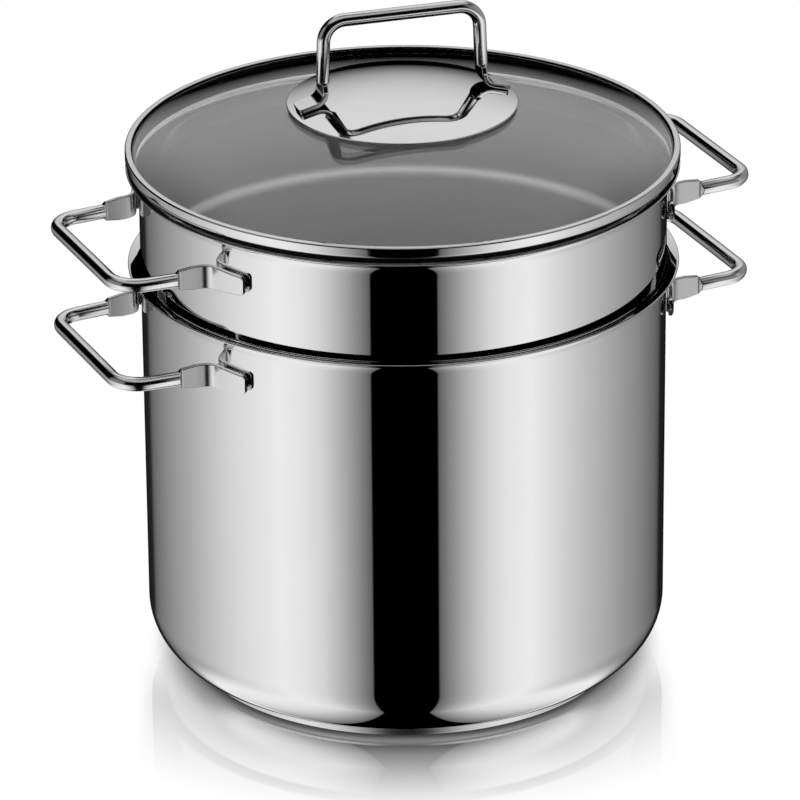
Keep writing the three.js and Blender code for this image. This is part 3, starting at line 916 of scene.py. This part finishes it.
clamp = {
    "gasketOuter": 50.3,
    "gasketInner": 45.3,
    "gasketGap": 0.2,
    "bore": 2.8,
    "sleeve": 3.7,
    "bossRadius": 6.0,
    "lowerGasketRadius": 9.0,
    "lowerGasketThickness": 1.5,
    "washerRadius": 10.0,
    "washerThickness": 1.0,
    "headRadius": 5.0,
    "headHeight": 2.6,
    "headEdge": 1.3,
    "headSteps": 6,
    "shankRadius": 2.5,
    "shankShort": 1.0,  # of the boss's top
    "seatGap": 0.3,
    "edge": 0.2,
    "ringSegments": 96,
    "screwSegments": 64,
}


def ringCorners(inner, outer, low, top):
    return [(inner, low), (outer, low), (outer, top), (inner, top)]


def makeClamp():
    gap, bore, edge = clamp["seatGap"], clamp["bore"], clamp["edge"]
    under = lid["glassThickness"]
    outer, inner = clamp["gasketOuter"], clamp["gasketInner"]
    lift, sheet = clamp["gasketGap"], lid["plateSheet"]
    upper = [(inner, glassTop(inner) + lift), (outer, glassTop(outer) + lift),
             (outer, plateTop(outer) - sheet - lift), (inner, plateTop(inner) - sheet - lift)]
    bossTop = plateTop(clamp["bossRadius"]) - sheet - gap
    bossLow = glassTop(lid["glassHole"]) + gap
    boss = ringCorners(bore, clamp["bossRadius"], bossLow, bossTop)
    lowRadius = clamp["lowerGasketRadius"]
    lowTop = glassTop(lowRadius) - under - gap
    washerTop = lowTop - clamp["lowerGasketThickness"]
    sleeve, sleeveTop = clamp["sleeve"], glassTop(lid["glassHole"])
    lower = [(bore, washerTop), (lowRadius, washerTop), (lowRadius, lowTop),
             (sleeve, lowTop), (sleeve, sleeveTop), (bore, sleeveTop)]
    headTop = washerTop - clamp["washerThickness"]
    washer = ringCorners(bore, clamp["washerRadius"], headTop, washerTop)
    parts = [
        ("lidUpperGasket", upper, "greySilicone", "silicone", "lid_upper_gasket"),
        ("lidBoss", boss, "padSteel", "pad_steel", "lid_boss"),
        ("lidLowerGasket", lower, "greySilicone", "silicone", "lid_lower_gasket"),
        ("lidWasher", washer, "fastenerSteel", "fastener_steel", "lid_washer"),
    ]
    for name, corners, finish, slot, node in parts:
        ring = turnedPiece(name, roundedOutline(corners, edge), finish, clamp["ringSegments"])
        seatPiece(ring, "lid", slot, node)
    low, shank, head = headTop - clamp["headHeight"], clamp["shankRadius"], clamp["headRadius"]
    headEdge, tip = clamp["headEdge"], bossTop - clamp["shankShort"]
    screw = [
        (0, low, 0),
        *arcLine(head - headEdge, low + headEdge, headEdge, -90, 0, clamp["headSteps"]),
        (head, headTop, 0),
        (shank, headTop, 0),
        (shank, tip, 0),
        (0, tip, 0),
    ]
    lidScrew = turnedPiece("lidScrew", screw, "fastenerSteel", clamp["screwSegments"])
    seatPiece(lidScrew, "lid", "fastener_steel", "lid_screw")


makeClamp()
print("lid built")

# CAD solids that stay as they are get a finish.
keptNodes = {"base_core": "coreAluminium"}
for owner in ("pot", "strainer"):
    for corner in ("left_front", "left_back", "right_back", "right_front"):
        keptNodes[f"{owner}_{corner}_weld_pad"] = "padSteel"
for name, finish in keptNodes.items():
    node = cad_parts[name]
    node.data.materials.clear()
    node.data.materials.append(finishes[finish])


# Studio: a white floor, soft overhead light, and a tent of panels that only gloss and glass see.
# A pair of limits is where something starts and where it is full. Rises and tops are in degrees
# above the horizon.
studio = {
    "floorRadius": 6.0,
    "floorSides": 128,
    "floorDrop": 0.0002,
    "paintedShadowLevel": 0.12,  # painted shadow: the floor's near-black colour under and round the pot, where the white fades out
    "shadowFrom": 0.100,  # from here the floor turns white by itself
    "shadowTo": 0.123,
    "mirrorShare": 0.86,
    "mirrorLevel": 0.75,
    "mirrorStart": (0.104, 0.113),  # distances from the axis
    "mirrorFrom": 0.100,
    "mirrorTo": 0.19,
    "mirrorSide": (0.118, 0.126),
    "mirrorFade": (0.045, 0.115),
    "mirrorFadeShare": 0.48,
    "mirrorBack": (-0.07, 0.0),
    "mirrorRoughness": 0.04,
    "insideLevel": 0.56,  # what the inside of the pot gets through the glass
    "insideRise": (0.0, 18.0),
    "worldLevel": 0.75,
    "lampSize": 1.6,
    "lampEnergy": 26.0,
    "lampHeight": 2.2,
    "tentRadius": 7.0,
    "tentSegments": (96, 48),
    # light of the panels round the pot, from the camera's side (0) to behind the pot (1)
    "panels": [(0.0, 0.0), (0.080, 0.0), (0.081, 0.14), (0.148, 0.51), (0.205, 0.82), (0.26, 0.98),
               (0.315, 1.03), (0.45, 0.82), (0.61, 0.48), (0.82, 0.15), (0.855, 0.02), (1.0, 0.0)],
    "panelTop": (-7.0, -2.0),
    "panelBelow": (-0.80, -0.55),  # heights between which the panels' edges turn straight
    "panelSpread": 0.55,  # of those edges, straight below
    "rightShare": 0.82,  # of the far right-hand panels
    "rightAside": (0.0, 0.1),
    "rightAround": (0.30, 0.48),  # round the pot, as for the panels
    "sideLevel": 0.24,  # above the panels on both sides
    "sideFrom": (0.235, 0.285),
    "sideTo": (0.50, 0.60),
    "sideTop": (25.0, 50.0),
    "besideLevel": 0.27,  # low on the right, behind
    "besideAside": (0.22, 0.40),
    "mirroredDepth": 0.45,  # what the floor mirrors
    "mirroredFrom": (0.2, 0.3),
    "mirroredTo": (0.5, 0.6),
    # light of the panel behind the pot, by degrees above the horizon
    "backPanel": [(0, 0.0), (3, 0.10), (7, 0.21), (10.5, 0.33), (14, 0.44), (21, 0.61), (27, 0.71),
                  (35, 0.80), (49, 0.84), (58, 0.81), (68, 0.70), (76, 0.02)],
    "backPanelHalf": (0.26, 0.42),  # sideways, where its edge fades
    "overheadRise": (42.0, 58.0),
    "overheadLevel": 0.50,
}


def studioFloor():
    material, nodes = newFinish("whiteFloor")
    x, y, _ = nodes.split(nodes.add("ShaderNodeTexCoord", out="Object"))
    away = (x * x + y * y).root()
    seen = nodes.add("ShaderNodeLightPath", out="Is Camera Ray")
    # painted shadow: near the pot the white fades into this dark diffuse floor, which the lamp and world
    # still shade
    plain = nodes.add("ShaderNodeBsdfDiffuse", sockets={"Color": grey(studio["paintedShadowLevel"])})
    white = nodes.add("ShaderNodeEmission", sockets={"Color": grey(1.0), "Strength": 1.0})
    bright = away.smooth(studio["shadowFrom"], studio["shadowTo"]) * seen
    ground = nodes.add("ShaderNodeMixShader", sockets={0: bright, 1: plain, 2: white})
    mirror = nodes.add("ShaderNodeBsdfGlossy", sockets={
        "Color": grey(studio["mirrorLevel"]), "Roughness": studio["mirrorRoughness"]})
    share = 1 - away.smooth(studio["mirrorFrom"], studio["mirrorTo"])
    share = share * away.smooth(*studio["mirrorStart"])
    share = share * (1 - abs(x).smooth(*studio["mirrorSide"])) * (1 - y.smooth(*studio["mirrorBack"]))
    share = share * (1 - abs(x).smooth(*studio["mirrorFade"]) * studio["mirrorFadeShare"])
    share = share * studio["mirrorShare"]
    surface = nodes.add("ShaderNodeMixShader", sockets={0: share, 1: ground, 2: mirror})
    nodes.add("ShaderNodeOutputMaterial", sockets={"Surface": surface})
    radius, sides = studio["floorRadius"], studio["floorSides"]
    turns = [2 * math.pi * i / sides for i in range(sides)]
    points = [(math.cos(turn) * radius, math.sin(turn) * radius, -studio["floorDrop"]) for turn in turns]
    floor = newObject("studioFloor", points, [tuple(range(sides))])
    floor.data.materials.append(material)
    floor.visible_glossy = False
    floor.visible_transmission = False
    return floor


def studioTent():
    material, nodes = newFinish("tentPanels")
    spot = nodes.add("ShaderNodeTexCoord", out="Object")
    unit = nodes.add("ShaderNodeVectorMath", {"operation": "NORMALIZE"}, {0: spot})
    x, y, z = nodes.split(unit)
    rise = z.arcsin() / math.pi + 0.5

    def risen(limits):
        return rise.smooth(*((degrees + 90) / 180 for degrees in limits))

    # straight below, the panels' edges don't meet in a point
    below = 1 - z.smooth(*studio["panelBelow"])
    depth = y * (below - 1) + below * (y * -1.0).atLeast(z * -studio["panelSpread"])
    around = abs(x).arctan2(depth) / math.pi
    dimmed = x.smooth(*studio["rightAside"]) * around.smooth(*studio["rightAround"])
    dimmed = dimmed * (1 - studio["rightShare"])
    ring = nodes.add("ShaderNodeValToRGB", {"stops": studio["panels"]}, {"Fac": around}) * (1 - dimmed)
    side = around.smooth(*studio["sideFrom"]) * (1 - around.smooth(*studio["sideTo"]))
    side = side * studio["sideLevel"]
    beside = x.smooth(*studio["besideAside"]) * (y > 0.0) * studio["besideLevel"]
    side = (side + beside) * (1 - risen(studio["sideTop"]))
    backStops = [((degrees + 90) / 180, level) for degrees, level in studio["backPanel"]]
    back = nodes.add("ShaderNodeValToRGB", {"stops": backStops}, {"Fac": rise})
    backShare = (y > 0.0) * (1 - abs(x).smooth(*studio["backPanelHalf"]))
    overhead = risen(studio["overheadRise"]) * (1 - backShare) * studio["overheadLevel"]
    path = nodes.add("ShaderNodeLightPath").socket.node
    through = Wire(nodes, path.outputs["Is Transmission Ray"])
    bounces = Wire(nodes, path.outputs["Glossy Depth"])
    straight = through * (bounces < 0.5)  # no bounce yet
    above = (back * backShare + overhead + side) * (bounces < 1.5)  # one bounce at most
    # what the floor mirrors is lit like what stands on it
    mirrored = (bounces > 1.5) * (1 - through) * (y < studio["mirroredDepth"])
    mirrored = mirrored * z.smooth(*studio["mirroredFrom"]) * (1 - z.smooth(*studio["mirroredTo"]))
    low = (1 - risen(studio["panelTop"])).atLeast(mirrored)
    fill = through * risen(studio["insideRise"]) * studio["insideLevel"]
    level = ring * low * (1 - through) + above * (1 - low) + fill
    light = nodes.add("ShaderNodeEmission", sockets={"Color": level, "Strength": 1.0})
    clear = nodes.add("ShaderNodeBsdfTransparent")
    surface = nodes.add("ShaderNodeMixShader", sockets={0: straight, 1: light, 2: clear})
    nodes.add("ShaderNodeOutputMaterial", sockets={"Surface": surface})
    material.cycles.emission_sampling = "NONE"
    ball = bmesh.new()
    columns, rows = studio["tentSegments"]
    bmesh.ops.create_uvsphere(ball, u_segments=columns, v_segments=rows, radius=studio["tentRadius"])
    tent = newObject("studioTent", [])
    ball.to_mesh(tent.data)
    ball.free()
    tent.data.materials.append(material)
    for ray in ("camera", "diffuse", "shadow", "volume_scatter"):
        setattr(tent, f"visible_{ray}", False)
    return tent


def studioWorld():
    world = bpy.data.worlds.new("whiteRoom")
    world.use_nodes = True
    world.node_tree.nodes.clear()
    nodes = Nodes(world.node_tree)
    path = nodes.add("ShaderNodeLightPath").socket.node
    seen = [Wire(nodes, path.outputs[f"Is {kind} Ray"]) for kind in ("Camera", "Glossy", "Transmission")]
    shown = (seen[0] + seen[1] + seen[2]).atMost(1.0)
    level = shown + (1 - shown) * studio["worldLevel"]
    room = nodes.add("ShaderNodeBackground", sockets={"Color": grey(1.0), "Strength": level})
    nodes.add("ShaderNodeOutputWorld", sockets={"Surface": room})
    scene.world = world


def studioLamp():
    lamp = bpy.data.lights.new("overheadLamp", "AREA")
    lamp.shape, lamp.size, lamp.energy = "DISK", studio["lampSize"], studio["lampEnergy"]
    holder = bpy.data.objects.new("overheadLamp", lamp)
    holder.location = (0.0, 0.0, studio["lampHeight"])
    holder.visible_glossy = False
    holder.visible_transmission = False
    scene.collection.objects.link(holder)


studioWorld()
studioLamp()
studioFloor()
studioTent()
print("studio set")


# Camera: stands at the photograph's place, looking a little down.
view = {
    "place": (0.0, -2.58467, 1.26912),
    "tilt": 23.915,
    "pan": -0.047,
    "roll": -0.456,
    "lens": 273.55,
    "sensor": 36.0,
    "clip": (0.1, 40.0),
}


def setCamera():
    tilt, pan, roll = (math.radians(view[key]) for key in ("tilt", "pan", "roll"))
    ahead = Vector((math.sin(pan) * math.cos(tilt), math.cos(pan) * math.cos(tilt), -math.sin(tilt)))
    right = Vector((math.cos(pan), -math.sin(pan), 0))
    up = right.cross(ahead)
    across = right * math.cos(roll) + up * math.sin(roll)
    overhead = up * math.cos(roll) - right * math.sin(roll)
    data = bpy.data.cameras.new("viewer")
    data.lens, data.sensor_width = view["lens"], view["sensor"]
    data.clip_start, data.clip_end = view["clip"]
    camera = bpy.data.objects.new("viewer", data)
    camera.matrix_world = Matrix.Translation(view["place"]) @ Matrix(
        (across, overhead, -ahead)).transposed().to_4x4()
    scene.collection.objects.link(camera)
    scene.camera = camera


setCamera()
scene.view_settings.view_transform = "Standard"
